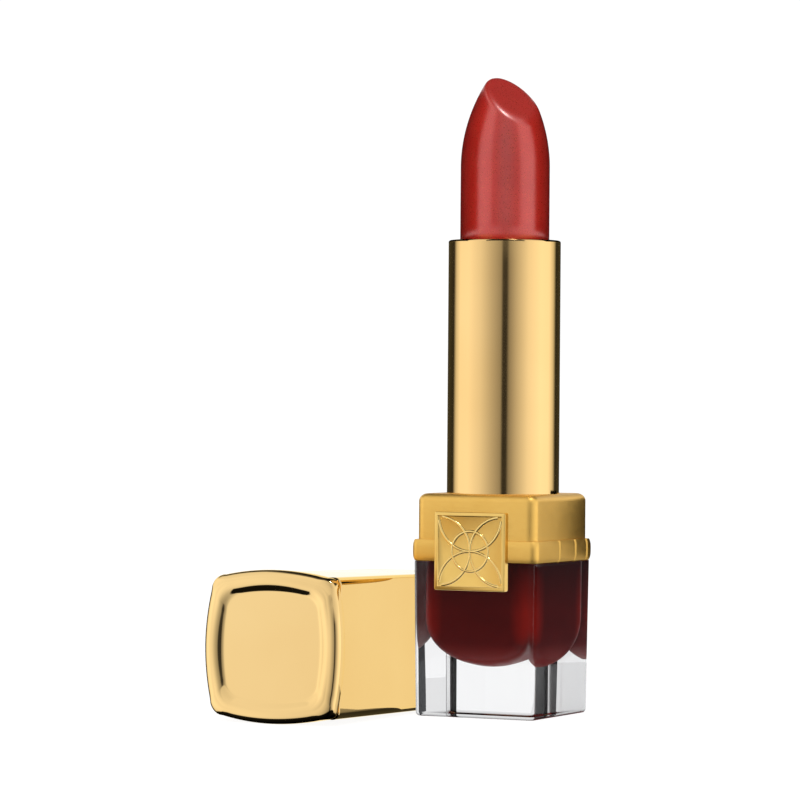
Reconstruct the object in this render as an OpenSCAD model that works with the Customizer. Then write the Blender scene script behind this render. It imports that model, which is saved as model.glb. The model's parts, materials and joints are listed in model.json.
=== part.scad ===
// Square swivel lipstick case, standing open with its bullet raised and its cap lying beside it.
// Origin: centre of the flat foot of the base. +Z up, the plaque faces -Y, millimetres.

/* [Base] */
// Width of the clear base across its flats, at the foot
base_foot_w = 18.6; // [18:0.1:19]
// Width of the clear base across its flats, under the band
base_top_w = 19.1; // [18.8:0.1:19.2]
// Height of the clear base that shows under the band
base_h = 22; // [21:0.5:24]
// Width of the coloured cup moulded into the clear base
cup_w = 16.6; // [16:0.1:16.8]
// Height of the coloured cup's lowest point above the foot
cup_floor_z = 6.8; // [6.5:0.1:8]

/* [Shoulder] */
// Width of the satin band across its flats
band_w = 19.6; // [19.4:0.1:20]
// Height of the band
band_h = 3; // [2.6:0.1:3.2]
// Width of the square shoulder above the band
collar_w = 18.5; // [18.4:0.1:18.6]
// Height of the shoulder above the band
collar_h = 6.5; // [6:0.1:7]
// Side of the square plaque on the front
plaque_w = 11; // [10:0.1:12]
// Thickness of the plaque's plate
plaque_t = 1.1; // [0.9:0.1:1.4]

/* [Tube] */
// Outer diameter of the polished tube
tube_d = 16; // [15.9:0.05:16.1]
// Height of the tube above the shoulder
tube_h = 36; // [35:0.5:38]
// Diameter of the lipstick bullet
bullet_d = 12.7; // [12.5:0.1:12.7]
// Length of the bullet that stands out of the tube when raised
bullet_h = 23.6; // [22:0.1:23.8]
// How far the bullet travels between lowered and raised
travel = 25; // [24:0.5:25]
// How far the bullet rises in one full turn of the tube
lead = 20; // [18:1:24]

/* [Cap] */
// Width of the cap across its flats
cap_w = 19.5; // [19.4:0.1:19.6]
// Length of the cap's straight sleeve
cap_len = 45.2; // [44.5:0.1:46]
// How far the cushion-shaped crown swells past the sleeve on each side
crown_swell = 0.85; // [0.6:0.05:1]
// Thickness of the crown beyond the sleeve
crown_t = 2.4; // [2.2:0.1:3.2]
// Sideways distance from the case's axis to the lying cap's axis
cap_x = -19.6; // [-30:0.1:-19.6]
// Distance of the cap's mouth behind the case's axis
cap_y = 14.4; // [0:0.1:20]

/* [Hidden] */

$fn = 96;
edge_fn = 32;
eps = 0.01;

gold = [0.85, 0.66, 0.28];
satin_gold = [0.80, 0.63, 0.30];
plastic = [0.92, 0.91, 0.88];

// Clearances
running = 0.07;
seat = 0.05;

// Vertical stations
band_top_z = base_h + band_h;
collar_top_z = band_top_z + collar_h;
tube_top_z = collar_top_z + tube_h;
tip_z = tube_top_z + bullet_h;
neck_z = band_top_z - 0.4;

// Base
base_corner_r = 0.85;
base_foot_chamfer = 0.5;
base_neck_w = 17.6;
cup_wall = 0.8;
cup_corner_r = 1.9;
cup_shoulder_z = cup_floor_z + 7;
cup_roundness = 2.2;
socket_floor_z = 14.8;
socket_w = cup_w - 2 * cup_wall - 0.1;
weight_r = 6;

// Shoulder
sheet_t = 0.4;
collar_corner_r = 1.2;
collar_edge_r = 0.9;
insert_floor_t = 0.8;
band_groove_w = 0.8;
band_groove_y = [-1.7, 3.7, 7.6];
band_barrel = 0.2;
plaque_corner_r = 0.25;
plaque_border = 0.55;
plaque_relief = 0.22;
plaque_line = 0.32;

// Telescoping mechanism, radii from the outside in
tube_r = tube_d / 2;
tube_bore_r = tube_r - sheet_t;
lip_r = bullet_d / 2 + 0.37;
lip_t = 0.5;
cam_r = tube_bore_r - 0.02;
cam_bore_r = 7.05;
cam_groove_r = 7.36;
guide_r = cam_bore_r - running;
guide_bore_r = 6.62;
guide_plug_r = 5.9;
guide_plug_bore_r = 5.2;
carrier_r = guide_bore_r - running;
carrier_bore_r = 6;
carrier_h = 11;
carrier_floor_t = 0.9;
carrier_top_z = tube_top_z - 1;
carrier_z = carrier_top_z - carrier_h;
lug_r = 0.6;
lug_z = carrier_z + 2;
lug_reach = cam_groove_r - 0.08;
slot_w = 2 * lug_r + 0.2;
cam_z = band_top_z + 0.6;
cam_top_z = tube_top_z - lip_t - 0.3;
guide_top_z = cam_top_z - 0.2;
snap_z = band_top_z + 2;
ring_z = band_top_z + 3.9;
ring_section_r = 0.19;

// Bullet
slant_angle = 41.5;
slant_turn = -30;
slant_z = tip_z - 1.9;
ogive_h = 15.7;
ogive_power = 0.89;
ogive_z = tip_z + 2.5 - ogive_h;

// Cap
cap_tilt = atan(crown_swell / (cap_len + crown_t / 2));
cap_corner_r = 1.2;
cap_bore_r = tube_r + 0.15;
liner_w = cap_w - 2 * sheet_t - 0.1;
liner_mouth_z = collar_h + 0.5;
liner_top_z = cap_len - 0.2;
skirt_h = 2.4;
skirt_t = 0.7;
crown_weight_r = 6.5;
crown_weight_t = 1.1;
dish_w = 14.8;
dish_rim_w = 17.4;
dish_depth = 0.66;
dish_corner_r = 2.4;

// A square with true round corners
module round_square(w, r) {
    square([w, w - 2 * r], center = true);
    square([w - 2 * r, w], center = true);
    for (x = [-1, 1], y = [-1, 1])
        translate([x * (w / 2 - r), y * (w / 2 - r)]) circle(r);
}

module round_block(w, r, z0, z1) {
    translate([0, 0, z0]) linear_extrude(z1 - z0) round_square(w, r);
}

// A ring of revolution with a rectangular section
module ring(r_in, r_out, z0, z1) {
    difference() {
        translate([0, 0, z0]) cylinder(r = r_out, h = z1 - z0);
        translate([0, 0, z0 - 1]) cylinder(r = r_in, h = z1 - z0 + 2);
    }
}

// Share of the cup's full width that its bowl-shaped bottom has reached at a height
function bowl_share(z) = pow(1 - pow((cup_shoulder_z - z) / (cup_shoulder_z - cup_floor_z), cup_roundness),
    1 / cup_roundness);

// The cup's outer shape, or the same shape shrunk evenly by inset
module bowl(inset, top_z) {
    hull() {
        for (rise = [0.2, 0.6, 1.2, 2, 3, 4.2, 5.6]) {
            share = bowl_share(cup_floor_z + rise);
            w = (cup_w - 2 * inset) * share;
            round_block(w, min(w / 2 - 0.05, cup_corner_r + 0.15 * w * (1 - share)),
                cup_floor_z + rise + inset, cup_floor_z + rise + inset + 0.05, $fn = edge_fn);
        }
        round_block(cup_w - 2 * inset, cup_corner_r - inset / 2, cup_shoulder_z + inset, top_z,
            $fn = edge_fn);
    }
}

module clear_base() {
    color([0.92, 0.93, 0.95, 0.4])
    difference() {
        union() {
            hull() {
                round_block(base_foot_w - 2 * base_foot_chamfer, base_corner_r - base_foot_chamfer / 2,
                    0, eps, $fn = edge_fn);
                round_block(base_foot_w, base_corner_r, base_foot_chamfer, base_foot_chamfer + eps,
                    $fn = edge_fn);
                round_block(base_top_w, base_corner_r, base_h - eps, base_h, $fn = edge_fn);
            }
            round_block(base_neck_w, base_corner_r, base_h - 1, neck_z);
        }
        bowl(0, neck_z + 1);
    }
}

module shade_cup() {
    color([0.36, 0.04, 0.05])
    difference() {
        bowl(0.02, neck_z);
        bowl(cup_wall, neck_z + 1);
    }
}

module base_weight() {
    color([0.6, 0.6, 0.62])
    rotate_extrude() polygon([[0, cup_floor_z + 1.4], [3, cup_floor_z + 1.4],
        [weight_r - 1, cup_floor_z + 3.4], [weight_r, cup_floor_z + 5], [weight_r, socket_floor_z - 0.2],
        [0, socket_floor_z - 0.2]]);
}

module guide_socket() {
    color(plastic)
    difference() {
        round_block(socket_w, cup_corner_r - cup_wall / 2, socket_floor_z, neck_z - 0.1);
        translate([0, 0, socket_floor_z + 1])
            cylinder(r = guide_plug_r + seat, h = neck_z);
    }
}

module band_ring() {
    color(satin_gold)
    difference() {
        hull() for (rise = [0, 0.25, 0.5, 0.75, 1])
            round_block(band_w - 2 * band_barrel * pow(2 * rise - 1, 2), collar_corner_r + 0.2,
                base_h + rise * (band_h - eps), base_h + rise * (band_h - eps) + eps, $fn = edge_fn);
        round_block(collar_w + 2 * eps, collar_corner_r, base_h - 1, band_top_z + 1);
        for (side = [-1, 1], y = band_groove_y)
            translate([side * band_w / 2, y, base_h - 1])
                rotate([0, 0, 45])
                    linear_extrude(band_h + 2) square(band_groove_w / sqrt(2), center = true);
    }
}

module collar_shell() {
    color(satin_gold)
    difference() {
        union() {
            round_block(collar_w, collar_corner_r, base_h + eps, collar_top_z - 2 * collar_edge_r);
            hull() {
                round_block(collar_w, collar_corner_r, collar_top_z - 2 * collar_edge_r - eps,
                    collar_top_z - collar_edge_r, $fn = edge_fn);
                for (a = [15 : 15 : 90])
                    round_block(collar_w - 2 * collar_edge_r * (1 - cos(a)), collar_corner_r,
                        collar_top_z - collar_edge_r, collar_top_z - collar_edge_r * (1 - sin(a)),
                        $fn = edge_fn);
            }
        }
        round_block(collar_w - 2 * sheet_t, collar_corner_r - sheet_t, base_h - 1,
            collar_top_z - collar_edge_r);
        translate([0, 0, base_h]) cylinder(r = tube_r + running, h = collar_h + 10);
    }
}

module collar_insert() {
    insert_w = collar_w - 2 * sheet_t - 0.1;
    color(plastic)
    difference() {
        round_block(insert_w, collar_corner_r - sheet_t, neck_z + eps, collar_top_z - collar_edge_r - 0.1);
        translate([0, 0, neck_z + insert_floor_t]) cylinder(r = tube_r + running, h = collar_h + 5);
        translate([0, 0, base_h]) cylinder(r = guide_r + seat, h = collar_h + 5);
    }
}

// Four arcs through the middle of the field, each about the middle of one side
module petal_lines(field) {
    intersection() {
        square(field, center = true);
        union() {
            for (a = [0 : 90 : 270]) rotate(a) translate([field / 2, 0]) difference() {
                circle(field / 2 + plaque_line / 2);
                circle(field / 2 - plaque_line / 2);
            }
            difference() {
                circle(field * 0.29);
                circle(field * 0.29 - plaque_line);
            }
        }
    }
}

module plaque() {
    field = plaque_w - 2 * plaque_border;
    mid_z = base_h + band_h / 2;
    plate_back = band_w / 2 + eps;
    color(satin_gold) {
        translate([0, -plate_back, mid_z]) rotate([90, 0, 0]) {
            difference() {
                linear_extrude(plaque_t) round_square(plaque_w, plaque_corner_r);
                translate([0, 0, plaque_t - plaque_relief])
                    linear_extrude(1) square(field, center = true);
            }
            translate([0, 0, plaque_t - plaque_relief - eps])
                linear_extrude(plaque_relief) petal_lines(field + 2 * eps);
        }
    }
}

// Adhesive pad that fills the gap between the plaque and the shoulder above the band
module plaque_pad() {
    pad_h = 3.2;
    pad_w = 9;
    back = collar_w / 2 + eps;
    color([0.15, 0.15, 0.15])
    translate([-pad_w / 2, -band_w / 2, band_top_z + 0.2]) cube([pad_w, band_w / 2 - back, pad_h]);
}

module inner_guide() {
    color(plastic)
    difference() {
        union() {
            translate([0, 0, neck_z]) cylinder(r = guide_r, h = guide_top_z - neck_z);
            translate([0, 0, socket_floor_z + 1.1]) cylinder(r = guide_plug_r, h = neck_z - socket_floor_z);
            translate([0, 0, snap_z]) rotate_extrude()
                polygon([[6.5, -0.35], [guide_r, -0.35], [guide_r + 0.2, 0], [guide_r, 0.35], [6.5, 0.35]]);
        }
        translate([0, 0, carrier_z - travel - 0.5]) cylinder(r = guide_bore_r, h = guide_top_z);
        cylinder(r = guide_plug_bore_r, h = guide_top_z);
        translate([0, 0, neck_z + 0.4]) cylinder(r = guide_bore_r - 0.7, h = guide_top_z);
        ring(guide_r - 0.36, guide_r + 0.1, ring_z - 0.25, ring_z + 0.25);
        for (x = [-1, 1]) translate([x * guide_r, 0, lug_z - travel / 2])
            cube([3, slot_w, travel + 2 * lug_r + 0.4], center = true);
    }
}

module friction_ring() {
    color([0.1, 0.1, 0.1])
    translate([0, 0, ring_z]) rotate_extrude() translate([guide_r - 0.155, 0]) circle(ring_section_r);
}

module outer_tube() {
    round_r = 0.35;
    color(gold)
    rotate_extrude() difference() {
        union() {
            translate([lip_r, cam_z]) square([tube_r - lip_r, tube_top_z - round_r - cam_z]);
            translate([lip_r, tube_top_z - 1]) square([tube_r - round_r - lip_r, 1]);
            translate([tube_r - round_r, tube_top_z - round_r]) circle(round_r);
        }
        translate([lip_r - 1, cam_z - 1]) square([tube_bore_r - lip_r + 1, tube_top_z - lip_t - cam_z + 1]);
    }
}

// One helical groove, cut from the bore of the cam sleeve
module helix_groove() {
    groove_h = travel + 2.8;
    turn = 360 * groove_h / lead;
    half_w = (2 * lug_r + 0.3) / 2 / sin(atan(lead / (2 * PI * cam_bore_r)));
    start_z = lug_z - travel - 1.4;
    translate([0, 0, start_z])
        rotate([0, 0, -360 * (lug_z - start_z) / lead])
            linear_extrude(groove_h, twist = -turn, slices = 48, $fn = 8)
                polygon([[cam_bore_r - 0.5, -half_w], [cam_groove_r, -half_w],
                    [cam_groove_r + 0.08, 0], [cam_groove_r, half_w], [cam_bore_r - 0.5, half_w]]);
}

module cam_sleeve() {
    color(plastic)
    difference() {
        ring(cam_bore_r, cam_r, cam_z, cam_top_z);
        ring(cam_bore_r - 0.5, cam_bore_r + 0.24, snap_z - 0.5, snap_z + 0.5);
        for (a = [0, 180]) rotate([0, 0, a]) helix_groove();
    }
}

module carrier_cup() {
    color(plastic) {
        difference() {
            translate([0, 0, carrier_z]) cylinder(r = carrier_r, h = carrier_h);
            translate([0, 0, carrier_z + carrier_floor_t]) cylinder(r = carrier_bore_r, h = carrier_h);
        }
        for (x = [-1, 1]) translate([x * (carrier_r - 0.3), 0, lug_z]) rotate([0, x * 90, 0])
            cylinder(r = lug_r, h = lug_reach - carrier_r + 0.3);
    }
}

function ogive(z) = bullet_d / 2 * pow(max(0, 1 - pow(max(0, z - ogive_z) / ogive_h, 2)), ogive_power);

module lipstick_bullet() {
    steps = 20;
    curve = [for (i = [0 : steps - 1]) ogive_z + ogive_h * sin(90 * i / steps)];
    color([0.70, 0.13, 0.11])
    difference() {
        union() {
            rotate_extrude() polygon(concat([[0, carrier_top_z]], [for (z = curve) [ogive(z), z]],
                [[0, ogive_z + ogive_h]], [[0, carrier_top_z]]));
            translate([0, 0, carrier_top_z + 0.02]) cylinder(r = bullet_d / 2, h = ogive_z - carrier_top_z);
            translate([0, 0, carrier_z + carrier_floor_t + 0.02])
                cylinder(r = carrier_bore_r - 0.02, h = carrier_h);
        }
        rotate([0, 0, slant_turn]) translate([0, 0, slant_z]) rotate([0, slant_angle, 0])
            translate([-15, -15, 0]) cube(30);
    }
}

// Lays a cap part, drawn mouth down on its own axis, on its side beside the base
module lay_cap() {
    translate([cap_x, cap_y, cap_w / 2 * cos(cap_tilt)]) rotate([90 - cap_tilt, 0, 0]) children();
}

module cap_sleeve() {
    color(gold) lay_cap() difference() {
        round_block(cap_w, cap_corner_r, 0, cap_len);
        round_block(cap_w - 2 * sheet_t, cap_corner_r - sheet_t, -1, cap_len + 1);
    }
}

// Outline of the cushion: a rounded square whose sides swell outward in a shallow curve
function cushion(w, swell, r) = let (flat = w / 2 - r) [
    for (turn = [0 : 90 : 270])
        for (p = concat(
            [for (share = [-1 : 0.25 : 1]) [w / 2 + swell * (1 - share * share), flat * share]],
            [for (a = [18 : 18 : 72]) [flat + r * cos(a), flat + r * sin(a)]]))
            [p[0] * cos(turn) - p[1] * sin(turn), p[0] * sin(turn) + p[1] * cos(turn)]];

// Solid cushion with a tight back edge and a rounder front edge: share of crown_t, inset, swell share
module crown_cushion() {
    steps = [[0, 0.4, 0.5], [0.12, 0.12, 0.9], [0.26, 0.01, 0.99], [0.5, 0, 1], [0.74, 0.2, 0.92],
        [0.91, 0.6, 0.75], [0.992, 1.1, 0.6]];
    hull() for (s = steps)
        translate([0, 0, cap_len + crown_t * s[0]]) linear_extrude(0.02)
            polygon(cushion(cap_w - 2 * s[1], crown_swell * s[2], cap_corner_r + 0.1 + 1.3 * s[0]));
}

module cap_crown() {
    skirt_w = cap_w - 2 * sheet_t - 0.06;
    color(gold) lay_cap() difference() {
        union() {
            crown_cushion();
            round_block(skirt_w, cap_corner_r - sheet_t, cap_len - skirt_h, cap_len + 0.5);
        }
        translate([0, 0, cap_len - skirt_h - 1]) linear_extrude(skirt_h + 1.1)
            round_square(skirt_w - 2 * skirt_t, cap_corner_r);
        translate([0, 0, cap_len]) cylinder(r = crown_weight_r + eps, h = crown_weight_t + 0.1);
        translate([0, 0, cap_len + crown_t - dish_depth])
            linear_extrude(2 * dish_depth, scale = 1 + 2 * (dish_rim_w / dish_w - 1))
                round_square(dish_w, dish_corner_r);
    }
}

module cap_weight() {
    color([0.6, 0.6, 0.62]) lay_cap()
        translate([0, 0, cap_len]) cylinder(r = crown_weight_r, h = crown_weight_t);
}

module cap_liner() {
    color(plastic) lay_cap() difference() {
        union() {
            round_block(liner_w, cap_corner_r - sheet_t, liner_mouth_z, cap_len - skirt_h - 0.1);
            translate([0, 0, liner_mouth_z]) cylinder(r = cap_bore_r + 0.4, h = liner_top_z - liner_mouth_z);
        }
        translate([0, 0, -1]) cylinder(r = cap_bore_r, h = tube_top_z - band_top_z + 1.5);
    }
}

clear_base();
shade_cup();
base_weight();
guide_socket();
band_ring();
collar_shell();
collar_insert();
plaque();
plaque_pad();
inner_guide();
friction_ring();
outer_tube();
cam_sleeve();
carrier_cup();
lipstick_bullet();
cap_sleeve();
cap_crown();
cap_weight();
cap_liner();
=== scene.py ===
"""Square swivel lipstick case standing open, its gold cap lying beside it."""
import json
import math
import bmesh
import bpy
from mathutils import Matrix, Vector

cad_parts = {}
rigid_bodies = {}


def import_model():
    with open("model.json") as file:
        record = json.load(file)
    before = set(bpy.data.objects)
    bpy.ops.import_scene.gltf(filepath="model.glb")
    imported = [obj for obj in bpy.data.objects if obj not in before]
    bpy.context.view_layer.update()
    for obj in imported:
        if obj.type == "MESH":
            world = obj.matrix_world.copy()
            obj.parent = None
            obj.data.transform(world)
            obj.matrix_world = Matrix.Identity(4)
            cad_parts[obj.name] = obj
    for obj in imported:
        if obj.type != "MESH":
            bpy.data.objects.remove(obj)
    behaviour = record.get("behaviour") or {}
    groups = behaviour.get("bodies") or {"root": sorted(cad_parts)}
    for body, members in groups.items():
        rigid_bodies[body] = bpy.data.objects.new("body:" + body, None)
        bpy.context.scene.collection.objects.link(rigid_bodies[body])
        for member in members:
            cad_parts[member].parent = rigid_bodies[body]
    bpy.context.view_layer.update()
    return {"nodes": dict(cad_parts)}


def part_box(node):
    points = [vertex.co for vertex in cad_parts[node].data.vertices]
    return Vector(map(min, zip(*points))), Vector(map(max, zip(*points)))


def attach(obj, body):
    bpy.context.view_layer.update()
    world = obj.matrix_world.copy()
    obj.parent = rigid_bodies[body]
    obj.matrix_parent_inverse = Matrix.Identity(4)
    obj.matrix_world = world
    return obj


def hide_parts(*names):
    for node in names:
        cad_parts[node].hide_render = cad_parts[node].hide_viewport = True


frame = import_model()

MM = 0.001
TAU = 2 * math.pi


# ---------------------------------------------------------------- mesh code, in millimetres
def new_object(name, bm):
    """Turns a bmesh in millimetres into an object in metres, and keeps its faces as they are wound."""
    bmesh.ops.scale(bm, vec=(MM, MM, MM), verts=bm.verts)
    mesh = bpy.data.meshes.new(name)
    bm.to_mesh(mesh)
    bm.free()
    obj = bpy.data.objects.new(name, mesh)
    bpy.context.collection.objects.link(obj)
    return obj


def finish_mesh(name, bm, sharp=32):
    """Makes a smooth-shaded object; edges that turn by more than sharp degrees stay sharp."""
    bmesh.ops.recalc_face_normals(bm, faces=bm.faces)
    limit = math.radians(sharp)
    for face in bm.faces:
        face.smooth = True
    for edge in bm.edges:
        if len(edge.link_faces) == 2 and edge.calc_face_angle(0) > limit:
            edge.smooth = False
    return new_object(name, bm)


def add_ring(bm, points):
    return [bm.verts.new(p) for p in points]


def bridge(bm, a, b):
    """Joins two rings of the same length with a band of quads."""
    count = len(a)
    for i in range(count):
        j = (i + 1) % count
        bm.faces.new((a[i], a[j], b[j], b[i]))


def loft(bm, rings, cap_start=False, cap_end=False, close=False):
    """Skins equal-length rings of points; an end can get one face as its cap, or join the other end."""
    made = [add_ring(bm, ring) for ring in rings]
    for a, b in zip(made, made[1:]):
        bridge(bm, a, b)
    if close:
        bridge(bm, made[-1], made[0])
    if cap_start:
        bm.faces.new(list(reversed(made[0])))
    if cap_end:
        bm.faces.new(made[-1])
    return made


def cos_sin(degrees):
    return math.cos(math.radians(degrees)), math.sin(math.radians(degrees))


def arc(centre_x, centre_y, r, start, end, steps):
    """Points on an arc between two angles in degrees."""
    points = []
    for i in range(steps + 1):
        c, s = cos_sin(start + (end - start) * i / steps)
        points.append((centre_x + r * c, centre_y + r * s))
    return points


def circle(r, z, steps):
    return [(r * math.cos(TAU * i / steps), r * math.sin(TAU * i / steps), z) for i in range(steps)]


GROOVE_WIDTH = 0.62
GROOVE_SIDE = 0.06


def side_marks(flat, steps, grooves, depth):
    """Stops along a straight side and how far each is sunk, with a groove round each given place."""
    marks = [(-flat + 2 * flat * i / steps, 0.0) for i in range(steps + 1)]
    marks = [mark for mark in marks if all(abs(mark[0] - at) > GROOVE_WIDTH * 0.8 for at in grooves)]
    for at in grooves:
        low = at - GROOVE_WIDTH / 2
        high = at + GROOVE_WIDTH / 2
        marks += [(low, 0.0), (low + GROOVE_SIDE, depth * 0.3), (at, depth),
                  (high - GROOVE_SIDE, depth * 0.3), (high, 0.0)]
    return sorted(marks)


def outline(half, r, steps, swell=0.0, grooves=(), depth=0.0):
    """Rounded square, counterclockwise from the +X side's low end; grooves are cut in the two X sides.

    The steps are how many go round a corner and along a side. The swell bows each side outward.
    """
    corner_steps, side_steps = steps
    flat = half - r
    lean = math.degrees(math.atan(2 * swell / flat))
    points = []
    for quarter in range(4):
        turn = math.radians(90 * quarter)
        sign = (1, 0, -1, 0)[quarter]
        cuts = [sign * at for at in grooves] if sign else []
        local = [(half - sunk + swell * (1 - (at / flat) ** 2), at)
                 for at, sunk in side_marks(flat, side_steps, cuts, depth)]
        for i in range(1, corner_steps):
            c, s = cos_sin(lean + (90 - 2 * lean) * i / corner_steps)
            local.append((flat + r * c, flat + r * s))
        for x, y in local:
            points.append((x * math.cos(turn) - y * math.sin(turn),
                           x * math.sin(turn) + y * math.cos(turn)))
    return points


def at_z(points, z):
    return [(x, y, z) for x, y in points]


def square_ring(half, r, z, steps, swell=0.0):
    return at_z(outline(half, r, steps, swell), z)


def to_circle(points, r):
    """Moves each point along its own direction to a circle of radius r."""
    out = []
    for x, y in points:
        reach = math.hypot(x, y)
        out.append((x * r / reach, y * r / reach))
    return out


def place(obj, body, nodes, material):
    """Gives an object its body, the nodes it replaces and its material."""
    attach(obj, body)
    if nodes:
        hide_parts(*nodes)
    obj.data.materials.clear()
    obj.data.materials.append(material)


# ---------------------------------------------------------------- materials
class Nodes:
    """Small helper around a material's node tree; noise scales are per metre."""

    def __init__(self, name):
        self.mat = bpy.data.materials.new(name)
        self.mat.use_nodes = True
        self.tree = self.mat.node_tree
        self.shader = self.tree.nodes["Principled BSDF"]
        self.coord = self.add("ShaderNodeTexCoord").outputs["Object"]

    def add(self, kind, **values):
        node = self.tree.nodes.new(kind)
        for key, value in values.items():
            setattr(node, key, value)
        return node

    def link(self, a, b):
        self.tree.links.new(a, b)

    def drive(self, **sockets):
        """Links node outputs to the shader's inputs of the same names."""
        for key, socket in sockets.items():
            self.link(socket, self.shader.inputs[key.replace("_", " ")])

    def set(self, **values):
        """Sets constants on the shader's own inputs."""
        for key, value in values.items():
            self.shader.inputs[key.replace("_", " ")].default_value = value

    def stretch(self, scale):
        node = self.add("ShaderNodeMapping")
        node.inputs["Scale"].default_value = scale
        self.link(self.coord, node.inputs["Vector"])
        return node.outputs["Vector"]

    def noise(self, scale, detail=3.0, rough=0.5, vector=None):
        node = self.add("ShaderNodeTexNoise")
        node.inputs["Scale"].default_value = scale
        node.inputs["Detail"].default_value = detail
        node.inputs["Roughness"].default_value = rough
        self.link(vector or self.coord, node.inputs["Vector"])
        return node.outputs["Fac"]

    def span(self, value, low, high, start=0.3, end=0.7):
        """Maps start to end onto low to high, and clamps outside; noise lies mostly in 0.3 to 0.7."""
        node = self.add("ShaderNodeMapRange")
        node.inputs["From Min"].default_value = start
        node.inputs["From Max"].default_value = end
        node.inputs["To Min"].default_value = low
        node.inputs["To Max"].default_value = high
        self.link(value, node.inputs["Value"])
        return node.outputs["Result"]

    def mix(self, fac, a, b):
        node = self.add("ShaderNodeMix", data_type="RGBA")
        self.link(fac, node.inputs[0])
        for index, value in ((6, a), (7, b)):
            if isinstance(value, tuple):
                node.inputs[index].default_value = (*value, 1.0)
            else:
                self.link(value, node.inputs[index])
        return node.outputs[2]

    def clouds(self, scale, detail, a, b):
        """Two colours in soft clouds."""
        return self.mix(self.span(self.noise(scale, detail), 0, 1), a, b)

    def math(self, operation, *values):
        node = self.add("ShaderNodeMath", operation=operation)
        for index, value in enumerate(values):
            self.link(value, node.inputs[index])
        return node.outputs[0]

    def bump(self, height, strength, distance):
        node = self.add("ShaderNodeBump")
        node.inputs["Strength"].default_value = strength
        node.inputs["Distance"].default_value = distance
        self.link(height, node.inputs["Height"])
        self.drive(Normal=node.outputs["Normal"])


def polished_gold(name, light, deep, rough_low, rough_high):
    m = Nodes(name)
    m.drive(Base_Color=m.clouds(60, 2, deep, light))
    m.drive(Roughness=m.span(m.noise(240, 4, 0.6), rough_low, rough_high))
    m.set(Metallic=1.0, Specular_Tint=(1.0, 0.90, 0.55, 1.0))
    m.bump(m.noise(3200, 2), strength=0.02, distance=0.00001)
    return m.mat


def satin_gold(name, light, deep, rough_low=0.40, rough_high=0.52):
    """Satin metal with a fine level grain."""
    m = Nodes(name)
    grain = m.noise(1, 2, 0.6, m.stretch((900, 900, 9000)))
    m.drive(Base_Color=m.clouds(180, 3, deep, light))
    m.drive(Roughness=m.span(grain, rough_low, rough_high))
    m.set(Metallic=1.0)
    m.bump(m.noise(9000, 3, 0.7), strength=0.10, distance=0.00003)
    return m.mat


def plastic(name, light, deep, rough=0.45, gloss=0.5):
    m = Nodes(name)
    m.drive(Base_Color=m.clouds(220, 3, deep, light))
    m.drive(Roughness=m.span(m.noise(900, 2), rough * 0.85, rough * 1.15))
    m.set(Specular_IOR_Level=gloss)
    m.bump(m.noise(5000, 2), strength=0.08, distance=0.00003)
    return m.mat


def steel(name):
    m = Nodes(name)
    m.drive(Base_Color=m.clouds(400, 3, (0.42, 0.42, 0.44), (0.60, 0.60, 0.61)))
    m.drive(Roughness=m.span(m.noise(1, 3, 0.5, m.stretch((300, 300, 5000))), 0.25, 0.45))
    m.set(Metallic=1.0)
    m.bump(m.noise(4000, 2), strength=0.1, distance=0.00003)
    return m.mat


def clear_acrylic(name):
    m = Nodes(name)
    m.drive(Base_Color=m.clouds(90, 2, (0.875, 0.880, 0.890), (0.890, 0.893, 0.900)))
    m.drive(Roughness=m.span(m.noise(500, 3), 0.0, 0.012))
    m.set(Transmission_Weight=1.0, IOR=1.49)
    return m.mat


# where the painted highlights and the painted shade lie in the cup, in metres
CUP_REACH = 0.0083
PAINTED_FOOT_HIGHLIGHT = (0.0070, 0.0105)
PAINTED_SHADE_UNDER_BAND = (0.0150, 0.0220)


def shade_red(name):
    """Tinted plastic with a painted highlight at its corners and its rounded foot, and painted shade that
    makes it deeper under the band.
    """
    m = Nodes(name)
    where = m.add("ShaderNodeSeparateXYZ")
    m.link(m.coord, where.inputs["Vector"])
    x = m.math("ABSOLUTE", where.outputs["X"])
    y = m.math("ABSOLUTE", where.outputs["Y"])
    # painted highlight: lighter red on the cup's upright corners and on its rounded foot
    corner = m.span(m.math("MULTIPLY", x, y), 0, 1, (CUP_REACH ** 2) * 0.62, (CUP_REACH ** 2) * 0.92)
    foot = m.span(where.outputs["Z"], 0.55, 0, *PAINTED_FOOT_HIGHLIGHT)
    # painted shade: the cup's red darkens upward towards the band
    deep = m.span(where.outputs["Z"], 0, 1, *PAINTED_SHADE_UNDER_BAND)
    base = m.clouds(130, 3, (0.100, 0.0045, 0.005), (0.125, 0.0055, 0.0055))
    # lays the painted highlight's red, then the painted shade's dark red, over the cup's own red
    base = m.mix(m.math("MAXIMUM", corner, foot), base, (0.34, 0.012, 0.007))
    m.drive(Base_Color=m.mix(deep, base, (0.035, 0.003, 0.004)))
    m.drive(Roughness=m.span(m.noise(600, 3), 0.34, 0.42))
    m.set(Specular_IOR_Level=0.12, Specular_Tint=(1.0, 0.10, 0.07, 1.0))
    m.bump(m.noise(2600, 2), strength=0.03, distance=0.00003)
    return m.mat


FLAKES_PER_METRE = 11000
FLAKE_SHARE = (0.84, 1.0)


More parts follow.
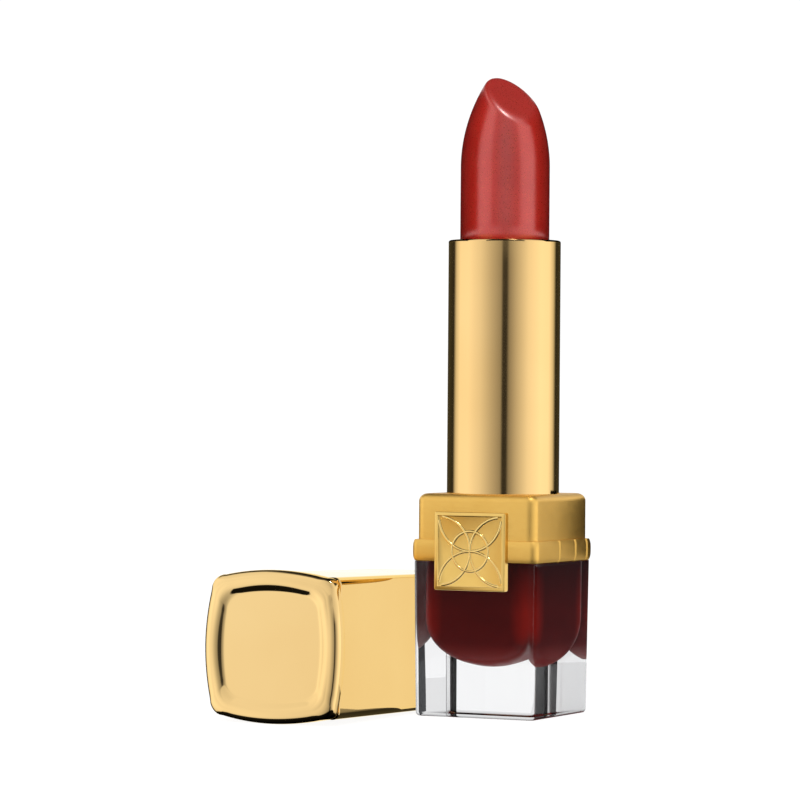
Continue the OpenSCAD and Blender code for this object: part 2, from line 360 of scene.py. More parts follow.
def lipstick(name):
    """Red wax with fine pearl flakes; a flake is a cell whose random value is in the top share."""
    m = Nodes(name)
    flakes = m.add("ShaderNodeTexVoronoi")
    flakes.inputs["Scale"].default_value = FLAKES_PER_METRE
    m.link(m.coord, flakes.inputs["Vector"])
    split = m.add("ShaderNodeSeparateColor")
    m.link(flakes.outputs["Color"], split.inputs["Color"])
    spark = m.span(split.outputs["Red"], 0, 1, *FLAKE_SHARE)
    base = m.clouds(260, 4, (0.58, 0.016, 0.010), (0.66, 0.022, 0.014))
    m.drive(Base_Color=m.mix(spark, base, (0.95, 0.17, 0.09)))
    m.drive(Roughness=m.span(spark, 0.30, 0.26, 0, 1))
    m.drive(Metallic=m.span(spark, 0.0, 0.6, 0, 1))
    m.set(Specular_IOR_Level=1.0, IOR=1.6)
    m.bump(split.outputs["Green"], strength=0.12, distance=0.00002)
    return m.mat


GOLD = polished_gold("polished_gold_tube", (0.93, 0.63, 0.27), (0.89, 0.59, 0.24), 0.07, 0.10)
CAP_GOLD = polished_gold("polished_gold_cap", (0.96, 0.68, 0.30), (0.93, 0.64, 0.27), 0.035, 0.06)
SATIN = satin_gold("satin_gold", (0.95, 0.60, 0.155), (0.90, 0.55, 0.13))
PLAQUE_GOLD = satin_gold("satin_gold_plaque", (0.95, 0.65, 0.20), (0.90, 0.60, 0.17), 0.28, 0.38)
MOTIF_GOLD = satin_gold("satin_gold_motif", (0.99, 0.72, 0.27), (0.95, 0.67, 0.23), 0.16, 0.24)
ACRYLIC = clear_acrylic("clear_acrylic")
SHADE = shade_red("shade_red")
WAX = lipstick("lipstick_wax")
STEEL = steel("weight_steel")
IVORY = plastic("mechanism_plastic", (0.80, 0.78, 0.73), (0.72, 0.70, 0.65))
LINER = plastic("liner_plastic", (0.62, 0.47, 0.22), (0.55, 0.41, 0.18), 0.38)
RUBBER = plastic("dark_rubber", (0.03, 0.03, 0.03), (0.015, 0.015, 0.015), 0.7, 0.3)


# ---------------------------------------------------------------- sizes from the frame, in millimetres
def span_of(node):
    low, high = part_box(node)
    return [v / MM for v in low], [v / MM for v in high]


base_low, base_high = span_of("clear_base")
band_low, band_high = span_of("band_ring")
collar_low, collar_high = span_of("collar_shell")
tube_low, tube_high = span_of("outer_tube")
wax_low, wax_high = span_of("lipstick_bullet")
plaque_low, plaque_high = span_of("plaque")
cup_low, cup_high = span_of("shade_cup")
sleeve_low, sleeve_high = span_of("cap_sleeve")

BAND_FOOT, BAND_TOP = band_low[2], band_high[2]
NECK_TOP = base_high[2]
COLLAR_TOP = collar_high[2]
TUBE_TOP = tube_high[2]
CARRIER_TOP = span_of("carrier_cup")[1][2]


# ---------------------------------------------------------------- clear base and its coloured cup
CUP_HALF = (cup_high[0] - cup_low[0]) / 2
CUP_FLOOR = cup_low[2]
CUP_SHOULDER = CUP_FLOOR + 7
CUP_CORNER = 1.9
CUP_WALL = 0.8
CUP_OVERLAP = 0.35
BOWL_POWER = 2.2
BOWL_STEPS = 22
BASE_STEPS = (14, 10)


def bowl_rings(inset, top):
    """Rings of the bowl-bottomed cup from its lowest ring up to top, moved inward by inset."""
    rings = []
    depth = CUP_SHOULDER - CUP_FLOOR
    for i in range(1, BOWL_STEPS + 1):
        c, s = cos_sin(90 * i / BOWL_STEPS)
        share = s ** (2 / BOWL_POWER)
        drop = c ** (2 / BOWL_POWER)
        half = CUP_HALF * share - inset * s
        z = CUP_SHOULDER - drop * depth + inset * c
        r = min(half * 0.97, CUP_CORNER - inset * 0.5 + 0.3 * half * (1 - share))
        rings.append(square_ring(half, r, z, BASE_STEPS))
    rings.append(square_ring(CUP_HALF - inset, CUP_CORNER - inset * 0.5, top, BASE_STEPS))
    return rings


def make_base():
    """Thick clear block with a rounded foot; its hollow overlaps the cup's wall, so no gap shows."""
    bm = bmesh.new()
    foot_half, top_half, neck_half = 9.3, 9.55, 8.9
    corner, foot_r, edge = 0.85, 0.55, 0.12
    ledge = BAND_FOOT - 0.02
    rings = []
    for a in range(0, 91, 15):
        c, s = cos_sin(a)
        inset = foot_r * (1 - s)
        r = max(0.3, corner - inset * 0.6)
        rings.append(square_ring(foot_half - inset, r, foot_r * (1 - c), BASE_STEPS))
    for z in (8, 15, BAND_FOOT - 0.15):
        share = (z - foot_r) / (BAND_FOOT - foot_r)
        rings.append(square_ring(foot_half + (top_half - foot_half) * share, corner, z, BASE_STEPS))
    rings.append(square_ring(top_half - edge, corner - 0.1, ledge, BASE_STEPS))
    rings.append(square_ring(neck_half, corner, ledge, BASE_STEPS))
    rings.append(square_ring(neck_half, corner, NECK_TOP, BASE_STEPS))
    rings += list(reversed(bowl_rings(CUP_OVERLAP, NECK_TOP)))
    loft(bm, rings, cap_start=True, cap_end=True)
    return finish_mesh("clear_base_body", bm)


def make_cup():
    bm = bmesh.new()
    rim = NECK_TOP - 0.02
    outer = bowl_rings(0.0, rim)
    inner = bowl_rings(CUP_WALL, rim)
    loft(bm, outer + list(reversed(inner)), cap_start=True, cap_end=True)
    return finish_mesh("shade_cup_body", bm)


place(make_base(), "case", ("clear_base",), ACRYLIC)
place(make_cup(), "case", ("shade_cup",), SHADE)


# ---------------------------------------------------------------- band, shoulder and plaque
METAL_STEPS = (12, 10)
PLAQUE_STEPS = (6, 8)
GROOVE_PLACES = (-1.7, 3.7, 7.6)
GROOVE_DEPTH = 0.28


def make_band():
    """Barrelled band with three upright grooves in each of its two X sides."""
    bm = bmesh.new()
    half = (band_high[0] - band_low[0]) / 2
    inner_half, corner, barrel, steps = 9.28, 1.1, 0.20, 12

    def ring(reach, z, depth):
        return at_z(outline(reach, corner, METAL_STEPS, 0.0, GROOVE_PLACES, depth), z)

    rings = [ring(inner_half, BAND_FOOT, 0.0)]
    for i in range(steps + 1):
        t = 2 * i / steps - 1
        z = BAND_FOOT + (t + 1) / 2 * (BAND_TOP - BAND_FOOT)
        rings.append(ring(half - barrel * abs(t) ** 3.5, z, GROOVE_DEPTH))
    rings.append(ring(inner_half, BAND_TOP, 0.0))
    loft(bm, rings, close=True)
    return finish_mesh("band_ring_body", bm, 28)


def make_collar():
    """Square shoulder shell with rounded top edges and a round hole whose rim is eased."""
    bm = bmesh.new()
    half = (collar_high[0] - collar_low[0]) / 2
    corner, edge, wall, hole = 1.35, 1.1, 0.4, 8.07
    foot = BAND_FOOT + 0.05
    under = COLLAR_TOP - edge
    rings = [square_ring(half, corner, foot, METAL_STEPS)]
    rings.append(square_ring(half, corner, COLLAR_TOP - edge - 1.5, METAL_STEPS))
    for i in range(9):
        c, s = cos_sin(90 * i / 8)
        inset = edge * (1 - c)
        r = max(0.6, corner - inset * 0.5)
        rings.append(square_ring(half - inset, r, COLLAR_TOP - edge * (1 - s), METAL_STEPS))
    top = outline(half - edge, 0.8, METAL_STEPS)
    rings.append(at_z([(x * 0.97, y * 0.97) for x, y in top], COLLAR_TOP))
    for wider, lower in ((0.12, 0.0), (0.03, 0.04), (0.0, 0.12), (0.0, edge)):
        rings.append(at_z(to_circle(top, hole + wider), COLLAR_TOP - lower))
    rings.append(square_ring(half - wall, corner - wall, under, METAL_STEPS))
    rings.append(square_ring(half - wall, corner - wall, foot, METAL_STEPS))
    loft(bm, rings, close=True)
    return finish_mesh("collar_shell_body", bm)


def tube_along(bm, path, radius, flatten, closed, sides=10):
    """Sweeps a flattened round section along a path that lies in the plaque's plane."""
    rings = []
    count = len(path)
    for i, p in enumerate(path):
        before = path[(i - 1) % count] if closed or i else path[i]
        after = path[(i + 1) % count] if closed or i < count - 1 else path[i]
        t = Vector((after[0] - before[0], after[1] - before[1]))
        t.normalize()
        normal = (-t.y, t.x)
        ring = []
        for k in range(sides):
            a = TAU * k / sides
            across, up = radius * math.cos(a), radius * flatten * math.sin(a)
            ring.append((p[0] + normal[0] * across, p[1] + normal[1] * across, up))
        rings.append(ring)
    loft(bm, rings, cap_start=not closed, cap_end=not closed, close=closed)


def upright(bm, front_y, centre_z):
    """Stands a mesh drawn flat, face up, against the front of the case."""
    turn = Matrix.Translation((0, front_y, centre_z)) @ Matrix.Rotation(math.radians(90), 4, "X")
    bmesh.ops.transform(bm, matrix=turn, verts=bm.verts)


PLAQUE_HALF = (plaque_high[0] - plaque_low[0]) / 2
PLAQUE_THICK = plaque_high[1] - plaque_low[1]
PLAQUE_Z = (plaque_high[2] + plaque_low[2]) / 2
PLAQUE_Y = plaque_low[1]
PLAQUE_EDGE = 0.16
FIELD_DEPTH = 0.22
FIELD_HALF = PLAQUE_HALF - 0.55


def make_plaque():
    """Square plate with eased edges and a sunken field inside a raised border."""
    bm = bmesh.new()
    corner, back_edge = 0.25, 0.08
    rows = [(PLAQUE_HALF - back_edge, 0.2, -PLAQUE_THICK),
            (PLAQUE_HALF, corner, -PLAQUE_THICK + back_edge),
            (PLAQUE_HALF, corner, -PLAQUE_EDGE)]
    for a in (30, 60, 90):
        c, s = cos_sin(a)
        rows.append((PLAQUE_HALF - PLAQUE_EDGE * (1 - c), corner, -PLAQUE_EDGE * (1 - s)))
    rows += [(FIELD_HALF + 0.06, 0.12, 0.0),
             (FIELD_HALF, 0.10, -0.05),
             (FIELD_HALF - 0.05, 0.10, -FIELD_DEPTH + 0.04),
             (FIELD_HALF - 0.12, 0.10, -FIELD_DEPTH)]
    rings = [square_ring(half, r, z, PLAQUE_STEPS) for half, r, z in rows]
    loft(bm, rings, cap_start=True, cap_end=True)
    upright(bm, PLAQUE_Y, PLAQUE_Z)
    return finish_mesh("plaque_plate", bm)


def make_motif():
    """Generic interlace of four arcs and a ring, raised from the plaque's field."""
    bm = bmesh.new()
    reach = FIELD_HALF - 0.1
    line, flatten, ring_share = 0.21, 0.9, 0.58
    for quarter in range(4):
        c, s = cos_sin(90 * quarter)
        path = [(x * c - y * s, x * s + y * c) for x, y in arc(reach, 0, reach, 96, 264, 61)]
        tube_along(bm, path, line, flatten, closed=False)
    tube_along(bm, arc(0, 0, reach * ring_share, 0, 360, 96)[:-1], line, flatten, closed=True)
    bmesh.ops.translate(bm, vec=(0, 0, -FIELD_DEPTH), verts=bm.verts)
    upright(bm, PLAQUE_Y, PLAQUE_Z)
    return finish_mesh("plaque_motif", bm, 60)


place(make_band(), "case", ("band_ring",), SATIN)
place(make_collar(), "case", ("collar_shell",), SATIN)
place(make_plaque(), "case", ("plaque",), PLAQUE_GOLD)
place(make_motif(), "case", (), MOTIF_GOLD)


# ---------------------------------------------------------------- tube and bullet
def make_tube():
    """Round tube with a rolled lip, turned from one closed profile of (radius, height) points."""
    bm = bmesh.new()
    r, bore, lip, lip_t, edge, ease = 8.0, 7.6, 6.72, 0.5, 0.30, 0.08
    foot = tube_low[2]
    profile = [(bore, foot), (r - ease, foot), (r, foot + ease), (r, TUBE_TOP - edge)]
    profile += arc(r - edge, TUBE_TOP - edge, edge, 10, 90, 8)
    profile += [(lip + 0.15, TUBE_TOP), (lip + 0.04, TUBE_TOP - 0.05), (lip, TUBE_TOP - 0.15)]
    profile += [(lip, TUBE_TOP - lip_t + ease), (lip + ease, TUBE_TOP - lip_t), (bore, TUBE_TOP - lip_t)]
    loft(bm, [circle(radius, z, 192) for radius, z in profile], close=True)
    return finish_mesh("outer_tube_body", bm)


# the nose is an ogive cut by a slanted plane; the whole ogive would end 2.5 mm above the real tip
WAX_R = (wax_high[0] - wax_low[0]) / 2
TIP_Z = TUBE_TOP + 23.6
OGIVE_HEIGHT = 15.7
OGIVE_POWER = 0.89
OGIVE_Z = TIP_Z + 2.5 - OGIVE_HEIGHT
SLANT_ANGLE, SLANT_TURN, SLANT_DROP = 41.5, -30, 1.9
SLANT_SOFTNESS = 0.55
SLANT_NORMAL = (Matrix.Rotation(math.radians(SLANT_TURN), 3, "Z")
                @ Matrix.Rotation(math.radians(SLANT_ANGLE), 3, "Y") @ Vector((0, 0, 1)))
WAX_HEART = Vector((0, 0, OGIVE_Z + 4.0))
WAX_SEGMENTS = 160
WAX_CLIMBS = 90


def wax_depth(p):
    """Below 0 inside the bullet's nose, where the slant meets the ogive in a small smooth curve."""
    rise = max(0.0, p.z - OGIVE_Z) / OGIVE_HEIGHT
    ogive = (math.hypot(p.x, p.y) / WAX_R) ** (1 / OGIVE_POWER) + rise ** 2 - 1
    ogive *= WAX_R / 2
    slant = (p - Vector((0, 0, TIP_Z - SLANT_DROP))).dot(SLANT_NORMAL)
    blend = max(SLANT_SOFTNESS - abs(ogive - slant), 0) / SLANT_SOFTNESS
    return max(ogive, slant) + blend * blend * SLANT_SOFTNESS / 4


def nose_point(climb, turn):
    """The nose's surface in one direction from the bullet's heart, found by halving the distance."""
    aim = Vector((math.cos(climb) * math.cos(turn), math.cos(climb) * math.sin(turn), math.sin(climb)))
    near, far = 0.0, 30.0
    for _ in range(26):
        middle = (near + far) / 2
        if wax_depth(WAX_HEART + aim * middle) < 0:
            near = middle
        else:
            far = middle
    return tuple(WAX_HEART + aim * near)


def make_bullet():
    """A straight foot in the carrier, then the nose as rings of points seen from the bullet's heart."""
    bm = bmesh.new()
    shelf = CARRIER_TOP + 0.02
    stem, ease = 5.98, 0.1
    low = [(5.9, wax_low[2]), (stem, wax_low[2] + ease), (stem, shelf), (WAX_R - ease, shelf),
           (WAX_R, shelf + ease), (WAX_R, shelf + 4), (WAX_R, OGIVE_Z - 3), (WAX_R, OGIVE_Z)]
    rings = [circle(r, z, WAX_SEGMENTS) for r, z in low]
    for k in range(-WAX_CLIMBS // 3, WAX_CLIMBS):
        climb = math.radians(90 * k / WAX_CLIMBS)
        ring = [nose_point(climb, TAU * i / WAX_SEGMENTS) for i in range(WAX_SEGMENTS)]
        if min(p[2] for p in ring) > OGIVE_Z + 0.3:
            rings.append(ring)
    loft(bm, rings, cap_start=True, cap_end=True)
    return finish_mesh("lipstick_wax_body", bm, 60)


place(make_tube(), "tube", ("outer_tube",), GOLD)
place(make_bullet(), "bullet", ("lipstick_bullet",), WAX)


# ---------------------------------------------------------------- cap, drawn mouth down, then laid down
CAP_HALF = (sleeve_high[0] - sleeve_low[0]) / 2
CAP_X = (sleeve_high[0] + sleeve_low[0]) / 2
CAP_Y = 14.4
CAP_LENGTH = 45.2
CAP_SWELL = 0.85
CROWN_THICK = 2.4
CROWN_STEPS = (18, 16)
# the crown is wider than the sleeve, so the lying cap is tilted a little
CAP_TILT = math.atan(CAP_SWELL / (CAP_LENGTH + CROWN_THICK / 2))


def lay(bm):
    turn = Matrix.Translation((CAP_X, CAP_Y, CAP_HALF * math.cos(CAP_TILT))) @ Matrix.Rotation(
        math.radians(90) - CAP_TILT, 4, "X")
    bmesh.ops.transform(bm, matrix=turn, verts=bm.verts)


def make_cap_sleeve():
    bm = bmesh.new()
    corner, wall, lip, edge = 1.2, 0.4, 0.14, 0.12
    rows = [(CAP_HALF - wall, corner - wall, CAP_LENGTH), (CAP_HALF - wall, corner - wall, lip)]
    for a in (30, 60, 90, 120, 150):
        inset = wall / 2 * (1 - math.cos(math.radians(180 - a)))
        rows.append((CAP_HALF - inset, corner - inset, lip * (1 - math.sin(math.radians(a)))))
    rows += [(CAP_HALF, corner, lip),
             (CAP_HALF, corner, CAP_LENGTH * 0.5),
             (CAP_HALF, corner, CAP_LENGTH - edge),
             (CAP_HALF - 0.1, corner, CAP_LENGTH)]
    loft(bm, [square_ring(half, r, z, METAL_STEPS) for half, r, z in rows], close=True)
    lay(bm)
    return finish_mesh("cap_sleeve_body", bm)


def sag(points, drop):
    """Lowers the corners of a ring by drop, and leaves the middles of its sides."""
    out = []
    for x, y, z in points:
        share = min(abs(x), abs(y)) / max(abs(x), abs(y))
        out.append((x, y, z - drop * share * share * (3 - 2 * share)))
    return out


def make_cap_crown():
    """Cushion with bowed sides: a small round behind, a large one in front, and a flat sunken dish."""
    bm = bmesh.new()
    foot, top = CAP_LENGTH + 0.02, CAP_LENGTH + CROWN_THICK
    back_r, front_r, front_run, corner_drop = 0.5, 1.0, 1.1, 0.18
    dish_half, dish_corner, dish_depth, dish_swell = 7.1, 2.6, 0.56, 0.34
    rings = []

    def add(half, swell, corner, z, drop=0.0):
        rings.append(sag(square_ring(half, corner, z, CROWN_STEPS, swell), drop))

    add(CAP_HALF - 1.2, 0.0, 1.2, foot)
    add(CAP_HALF - 0.62, 0.30, 1.3, foot)
    for a in range(10, 91, 16):
        c, s = cos_sin(a)
        add(CAP_HALF - back_r * (1 - s), CAP_SWELL * (0.45 + 0.55 * s), 1.3 + 0.3 * s,
            foot + back_r * (1 - c))
    add(CAP_HALF, CAP_SWELL, 1.9, (foot + back_r + top - front_r) / 2)
    for a in range(0, 91, 6):
        c, s = cos_sin(a)
        add(CAP_HALF - front_run * (1 - c), CAP_SWELL * (0.78 + 0.22 * c), 2.1 + 0.5 * s,
            top - front_r * (1 - s), corner_drop * s)
    # from its crest the rim runs down in a smooth S, steeper near its foot, to the flat dish
    crest = CAP_HALF - front_run
    for i in range(1, 21):
        t = i / 20
        add(crest + (dish_half - crest) * t, CAP_SWELL * (0.78 - 0.38 * t), dish_corner,
            top - dish_depth * t ** 2.8 * (3 - 2 * t ** 1.4), corner_drop * (1 - t) ** 2)
    for share in (0.97, 0.85, 0.6, 0.35, 0.12):
        add(dish_half * share, dish_swell * share, dish_corner * share, top - dish_depth)
    loft(bm, rings, cap_start=True, cap_end=True)
    lay(bm)
    return finish_mesh("cap_crown_body", bm, 40)


def make_cap_liner():
    """Plastic liner: square outside, a blind round bore, and a round boss on its closed end."""
    bm = bmesh.new()
    half, corner, bore, mouth, boss = CAP_HALF - 0.45, 0.8, 8.15, 7.0, 8.55
    bore_end = 43.0
    shelf = CAP_LENGTH - 2.5
    side = outline(half, corner, METAL_STEPS)
    rings = [at_z(side, shelf), at_z(side, mouth + 0.3)]
    rings.append(square_ring(half - 0.25, 0.6, mouth, METAL_STEPS))
    for r, z in ((bore + 0.7, mouth), (bore + 0.2, mouth + 0.15), (bore, mouth + 0.7),
                 (bore, 42.6), (bore - 0.3, 42.95), (0.4, bore_end)):
        rings.append(at_z(to_circle(side, r), z))
    made = loft(bm, rings, cap_end=True)
    low_boss = add_ring(bm, at_z(to_circle(side, boss), shelf))
    high_boss = add_ring(bm, at_z(to_circle(side, boss), CAP_LENGTH - 0.3))
    bridge(bm, low_boss, made[0])
    bridge(bm, high_boss, low_boss)
    bm.faces.new(high_boss)
    lay(bm)
    return finish_mesh("cap_liner_body", bm)


place(make_cap_sleeve(), "cap", ("cap_sleeve",), CAP_GOLD)
place(make_cap_crown(), "cap", ("cap_crown",), CAP_GOLD)
place(make_cap_liner(), "cap", ("cap_liner",), LINER)


# ---------------------------------------------------------------- nodes shown as the CAD draws them
def paint_node(name, material):
    node = frame["nodes"][name]
    for part in ([node] if node.type == "MESH" else [c for c in node.children if c.type == "MESH"]):
        part.data.materials.clear()
        part.data.materials.append(material)


for node_name in ("guide_socket", "collar_insert", "inner_guide", "cam_sleeve", "carrier_cup"):
    paint_node(node_name, IVORY)
for node_name in ("base_weight", "cap_weight"):
    paint_node(node_name, STEEL)
for node_name in ("plaque_pad", "friction_ring"):
    paint_node(node_name, RUBBER)


# ---------------------------------------------------------------- camera, in metres and radians
CAMERA_YAW = math.radians(26.7)
CAMERA_DISTANCE = 0.5629
CAMERA_SIDE = 0.01477
CAMERA_HEIGHT = 0.0454
CAMERA_PITCH = 0.0013
CAMERA_ROLL = 0.0074
FOCAL_PX = 3947.0
PICTURE_PX = 800
SENSOR = 36.0

right = Vector((math.cos(CAMERA_YAW), math.sin(CAMERA_YAW), 0))
ahead = Vector((-math.sin(CAMERA_YAW), math.cos(CAMERA_YAW), 0))


def make_camera():
    data = bpy.data.cameras.new("camera")
    data.sensor_width = SENSOR
    data.lens = FOCAL_PX * SENSOR / PICTURE_PX
    data.clip_start = 0.01
    data.clip_end = 20
    cam = bpy.data.objects.new("camera", data)
    bpy.context.collection.objects.link(cam)
    look = (ahead * math.cos(CAMERA_PITCH) + Vector((0, 0, -math.sin(CAMERA_PITCH)))).normalized()
    up = Vector((0, 0, 1)) * math.cos(CAMERA_ROLL) - right * math.sin(CAMERA_ROLL)
    side = look.cross(up).normalized()
    up = side.cross(look).normalized()
    turn = Matrix((side, up, -look)).transposed().to_4x4()
    stand = -ahead * CAMERA_DISTANCE - right * CAMERA_SIDE + Vector((0, 0, CAMERA_HEIGHT))
    cam.matrix_world = Matrix.Translation(stand) @ turn
    bpy.context.scene.camera = cam


# ---------------------------------------------------------------- studio
def make_floor():
    """A white floor that reflections and matt surfaces don't see: the photograph is cut out on white."""
    bm = bmesh.new()
    floor_z = -0.02
    loft(bm, [circle(r, floor_z, 96) for r in (1100, 600, 200, 40)], cap_end=True)
    floor = finish_mesh("studio_floor", bm)
    m = Nodes("studio_floor_white")
    m.drive(Base_Color=m.clouds(3, 2, (0.25, 0.25, 0.25), (0.27, 0.27, 0.27)))
    m.set(Roughness=0.9, Specular_IOR_Level=0.1, Emission_Color=(1, 1, 1, 1), Emission_Strength=0.92)
    floor.data.materials.append(m.mat)
    floor.visible_glossy = False
    floor.visible_diffuse = False


# A sky is brightness by (degrees round from the camera's side, right positive), times brightness by
# the sine of the angle over the horizon. The first three are what polished and satin metal reflects
# near the horizon, above it and overhead; then come the light on matt surfaces and what glass shows.
LEVEL_SKY = (((-180, 1.1), (-176.5, 1.05), (-173, 0.07), (-127, 0.03), (-117, 0.75), (-104, 1.12),
              (-80, 1.15), (-52, 0.92), (-26, 0.56), (-8, 0.34), (-4, 0.04), (4, 0.04), (9, 0.30),
              (26, 0.62), (50, 1.02), (80, 1.25), (104, 1.2), (119, 0.75), (130, 0.03), (173, 0.07),
              (176.5, 1.05), (180, 1.1)),
             ((-1, 0.0), (-0.60, 0.01), (-0.54, 0.85), (-0.3, 1.0), (1, 1.0)))
RAISED_SKY = (((-180, 1.0), (-90, 1.05), (-45, 0.9), (0, 0.7), (45, 0.9), (90, 1.05), (180, 1.0)),
              ((-1, 1.0), (1, 1.0)))
TOP_SKY = (((-180, 0.04), (-130, 0.05), (-108, 0.85), (-53, 0.95), (0, 0.6), (53, 0.95), (96, 0.85),
            (112, 0.05), (180, 0.04)),
           ((-1, 1.0), (0.85, 1.0), (0.92, 0.10), (1, 0.03)))
FILL_SKY = (((-180, 1.1), (-142, 0.65), (-120, 0.05), (-75, 0.0), (-50, 0.10), (-25, 1.35), (0, 2.9),
             (25, 1.35), (50, 0.10), (75, 0.0), (120, 0.05), (142, 0.65), (180, 1.1)),
            ((-1, 0.15), (-0.3, 0.5), (0, 0.95), (0.5, 1.1), (0.8, 0.8), (1, 0.5)))
THROUGH_SKY = (((-180, 0.95), (180, 0.95)),
               ((-1, 0.95), (0.12, 0.95), (0.45, 0.55), (1, 0.25)))
RAISED_FROM = (0.12, 0.20)
TOP_FROM = (0.46, 0.56)
BACKDROP = (1.05, 1.05, 1.05, 1.0)


class Sky:
    """Small helper around the world's node tree."""

    def __init__(self, tree):
        self.tree = tree
        turn = self.add("ShaderNodeMapping", vector_type="POINT")
        turn.inputs["Rotation"].default_value = (0, 0, math.radians(90) - CAMERA_YAW)
        self.link(self.add("ShaderNodeTexCoord").outputs["Generated"], turn.inputs["Vector"])
        split = self.add("ShaderNodeSeparateXYZ")
        self.link(turn.outputs["Vector"], split.inputs["Vector"])
        # after the turn, +X points at the camera's side of the object
        angle = self.add("ShaderNodeMath", operation="ARCTAN2")
        self.link(split.outputs["Y"], angle.inputs[0])
        self.link(split.outputs["X"], angle.inputs[1])
        self.around = self.share(angle.outputs[0], math.pi)
        self.height = self.share(split.outputs["Z"], 1)

    def add(self, kind, **values):
        node = self.tree.nodes.new(kind)
        for key, value in values.items():
            setattr(node, key, value)
        return node

    def link(self, a, b):
        self.tree.links.new(a, b)

    def share(self, value, reach):
        """Maps -reach to reach onto 0 to 1."""
        node = self.add("ShaderNodeMapRange")
        node.inputs["From Min"].default_value = -reach
        node.inputs["From Max"].default_value = reach
        self.link(value, node.inputs["Value"])
        return node.outputs["Result"]

    def ramp(self, source, stops, reach):
        """Brightness along a source that runs from -reach to reach, given as (place, brightness)."""
        node = self.add("ShaderNodeValToRGB")
        self.link(source, node.inputs["Fac"])
        elements = node.color_ramp.elements
        while len(elements) > 1:
            elements.remove(elements[-1])
        for i, (at, value) in enumerate(stops):
            where = (at + reach) / (2 * reach)
            element = elements[0] if i == 0 else elements.new(where)
            element.position = where
            element.color = (value, value, value, 1)
        return node.outputs["Color"]

    def join(self, kind, fac, a, b):
        node = self.add("ShaderNodeMix", data_type="RGBA", blend_type=kind)
        for index, value in ((0, fac), (6, a), (7, b)):
            if isinstance(value, (float, tuple)):
                node.inputs[index].default_value = value
            else:
                self.link(value, node.inputs[index])
        return node.outputs[2]

    def glow(self, around, upward):
        return self.join("MULTIPLY", 1.0, self.ramp(self.around, around, 180),
                         self.ramp(self.height, upward, 1))

    def above(self, low, high):
        """0 below the first height and 1 above the second."""
        return self.ramp(self.height, ((-1, 0.0), (low, 0.0), (high, 1.0), (1, 1.0)), 1)


def make_world():
    """A different sky for reflections, for matt surfaces, through glass and behind everything."""
    world = bpy.data.worlds.new("studio")
    bpy.context.scene.world = world
    world.use_nodes = True
    world.node_tree.nodes.clear()
    sky = Sky(world.node_tree)
    panels = sky.join("MIX", sky.above(*RAISED_FROM), sky.glow(*LEVEL_SKY), sky.glow(*RAISED_SKY))
    panels = sky.join("MIX", sky.above(*TOP_FROM), panels, sky.glow(*TOP_SKY))
    ray = sky.add("ShaderNodeLightPath").outputs
    light = sky.join("MIX", ray["Is Diffuse Ray"], panels, sky.glow(*FILL_SKY))
    light = sky.join("MIX", ray["Is Transmission Ray"], light, sky.glow(*THROUGH_SKY))
    light = sky.join("MIX", ray["Is Camera Ray"], light, BACKDROP)
    background = sky.add("ShaderNodeBackground")
    sky.link(light, background.inputs["Color"])
    out = sky.add("ShaderNodeOutputWorld")
    sky.link(background.outputs["Background"], out.inputs["Surface"])
    world.cycles.sampling_method = "NONE"


RAY_KINDS = ("camera", "diffuse", "glossy", "transmission", "shadow", "volume_scatter")


def make_card(name, lines, low_z, high_z, sees):
    """Upright card over each line of two (x, y) ends; only the kinds of ray in sees meet it."""
    bm = bmesh.new()
    for (x0, y0), (x1, y1) in lines:
        corners = ((x0, y0, low_z), (x1, y1, low_z), (x1, y1, high_z), (x0, y0, high_z))
        bm.faces.new([bm.verts.new(corner) for corner in corners])
    card = new_object(name, bm)
    for kind in RAY_KINDS:
        setattr(card, "visible_" + kind, kind in sees)
    return card


def make_flag(name, start, end, low_z, high_z, sees, glow=0.0):
    """A black card, or a dim one when it has a glow."""
    flag = make_card(name, ((start, end),), low_z, high_z, sees)
    m = Nodes(name + "_black")
    m.set(Base_Color=(0.004, 0.004, 0.005, 1), Roughness=1.0, Specular_IOR_Level=0.0)
    m.set(Emission_Color=(0.90, 0.93, 1.0, 1), Emission_Strength=glow)
    flag.data.materials.append(m.mat)


def make_bounce_card():
    """White outside and dim inside, round two sides of the base, for the cap's side to reflect."""
    front_y = base_low[1] - 0.25
    left_x, right_x = base_low[0] - 0.15, base_high[0] + 0.25
    lines = (((left_x, front_y), (right_x, front_y)), ((left_x, -front_y), (left_x, front_y)))
    card = make_card("studio_bounce_card", lines, 0, BAND_FOOT - 0.1, ("glossy",))
    m = Nodes("studio_card_white")
    m.set(Base_Color=(0, 0, 0, 1), Specular_IOR_Level=0.0, Emission_Color=(0.95, 0.93, 0.90, 1))
    back = m.add("ShaderNodeNewGeometry").outputs["Backfacing"]
    m.drive(Emission_Strength=m.span(back, 1.0, 0.12, 0, 1))
    card.data.materials.append(m.mat)


FLAG_TOP = 21.5
FLAG_REACH = 9.4
FLAG_GAP_LEFT = 0.3
FLAG_GAP_RIGHT = 0.25
BULLET_FLAG_SIDE = 9.0
BULLET_FLAG_FRONT = 12.0
BULLET_FLAG_HALF = 6.6


def make_base_flags():
    """Two flags darken what the base's near corner and left side show, one its left edge."""
    left_x = base_low[0] - FLAG_GAP_LEFT
    near_y, edge_y = 4.7, 20.0
    wrap_x, wrap_y = left_x + 1.3, 9.9
    sees = ("transmission",)
    make_flag("studio_flag_corner", (left_x, near_y), (left_x, FLAG_REACH), 0.0, FLAG_TOP, sees)
    make_flag("studio_flag_wrap", (left_x, FLAG_REACH), (wrap_x, wrap_y), 0.0, FLAG_TOP, sees)
    make_flag("studio_flag_edge", (-0.3, edge_y), (2.4, edge_y), 0.0, FLAG_TOP, sees, 0.05)


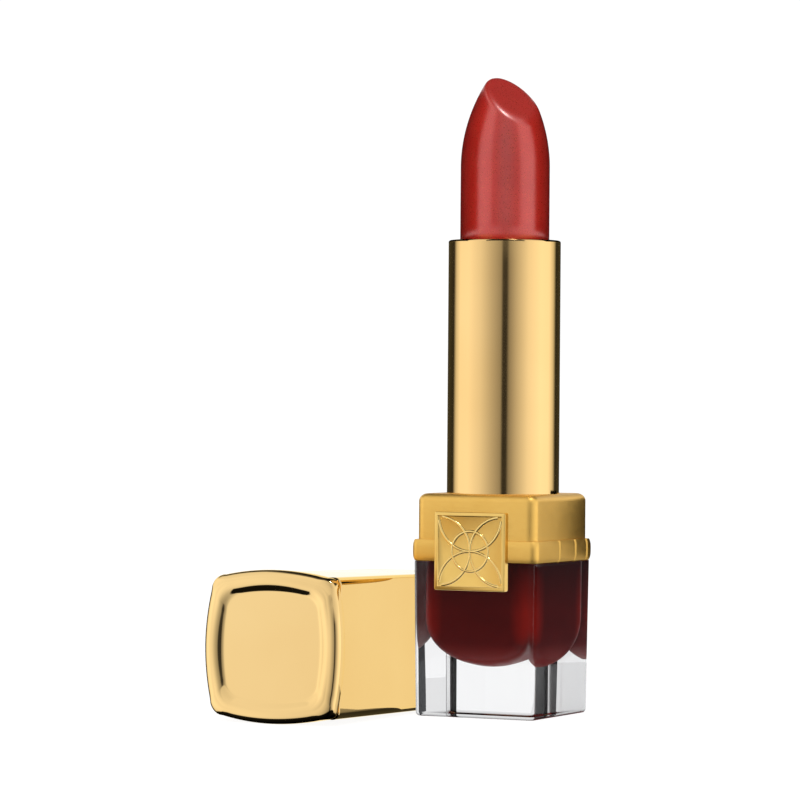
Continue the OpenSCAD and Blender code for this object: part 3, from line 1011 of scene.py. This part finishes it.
def make_side_flags():
    """Two flags darken reflections in the base's right face and in the far end of the shoulder's."""
    right_x = base_high[0] + FLAG_GAP_RIGHT
    make_flag("studio_flag_right", (right_x, -FLAG_REACH), (right_x, FLAG_REACH), 0.0, FLAG_TOP,
              ("glossy",), 0.06)
    back_y, back_foot = 9.8, 21.8
    make_flag("studio_flag_back", (9.5, back_y), (17.0, back_y), back_foot, COLLAR_TOP + 0.3, ("glossy",))


def make_bullet_flags():
    """Three flags round the bullet keep its shine to two soft streaks and leave its edges deep."""
    far = -40.0
    for name, side, near in (("studio_flag_bullet_left", -BULLET_FLAG_SIDE, 6.3),
                             ("studio_flag_bullet_right", BULLET_FLAG_SIDE, 5.6)):
        start, end = [(right * side - ahead * reach).to_2d() for reach in (near, far)]
        make_flag(name, start, end, TUBE_TOP + 0.1, TIP_Z + 2.0, ("glossy",))
    start, end = [(-ahead * BULLET_FLAG_FRONT + right * side).to_2d()
                  for side in (-BULLET_FLAG_HALF, BULLET_FLAG_HALF)]
    make_flag("studio_flag_bullet_front", start, end, TUBE_TOP + 0.4, TIP_Z + 6.0, ("glossy",), 0.02)


# in metres and watts
KEY_SIZE = 0.05
KEY_POWER = 0.6
KEY_DISTANCE = 0.5


def make_key():
    """A small lamp high in front, for the glints on the bullet's rim and the shoulder's edge."""
    light = bpy.data.lights.new("studio_key", "AREA")
    light.shape = "DISK"
    light.size = KEY_SIZE
    light.energy = KEY_POWER
    lamp = bpy.data.objects.new("studio_key", light)
    lamp.visible_diffuse = False
    bpy.context.collection.objects.link(lamp)
    aim = Vector((0, 0, 0.06))
    toward = -ahead * 0.30 + right * 0.20 + Vector((0, 0, 0.93))
    lamp.location = aim + toward * KEY_DISTANCE
    lamp.rotation_euler = (lamp.location - aim).to_track_quat("Z", "Y").to_euler()


make_camera()
make_floor()
make_bounce_card()
make_base_flags()
make_side_flags()
make_bullet_flags()
make_world()
make_key()
# the photograph's glass doesn't show the cap, and its gold doesn't reflect the plaque
for name in ("cap_sleeve_body", "cap_crown_body", "cap_liner_body", "cap_weight"):
    bpy.data.objects[name].visible_transmission = False
for name in ("plaque_plate", "plaque_motif"):
    bpy.data.objects[name].visible_glossy = False
bpy.context.scene.view_settings.view_transform = "Standard"
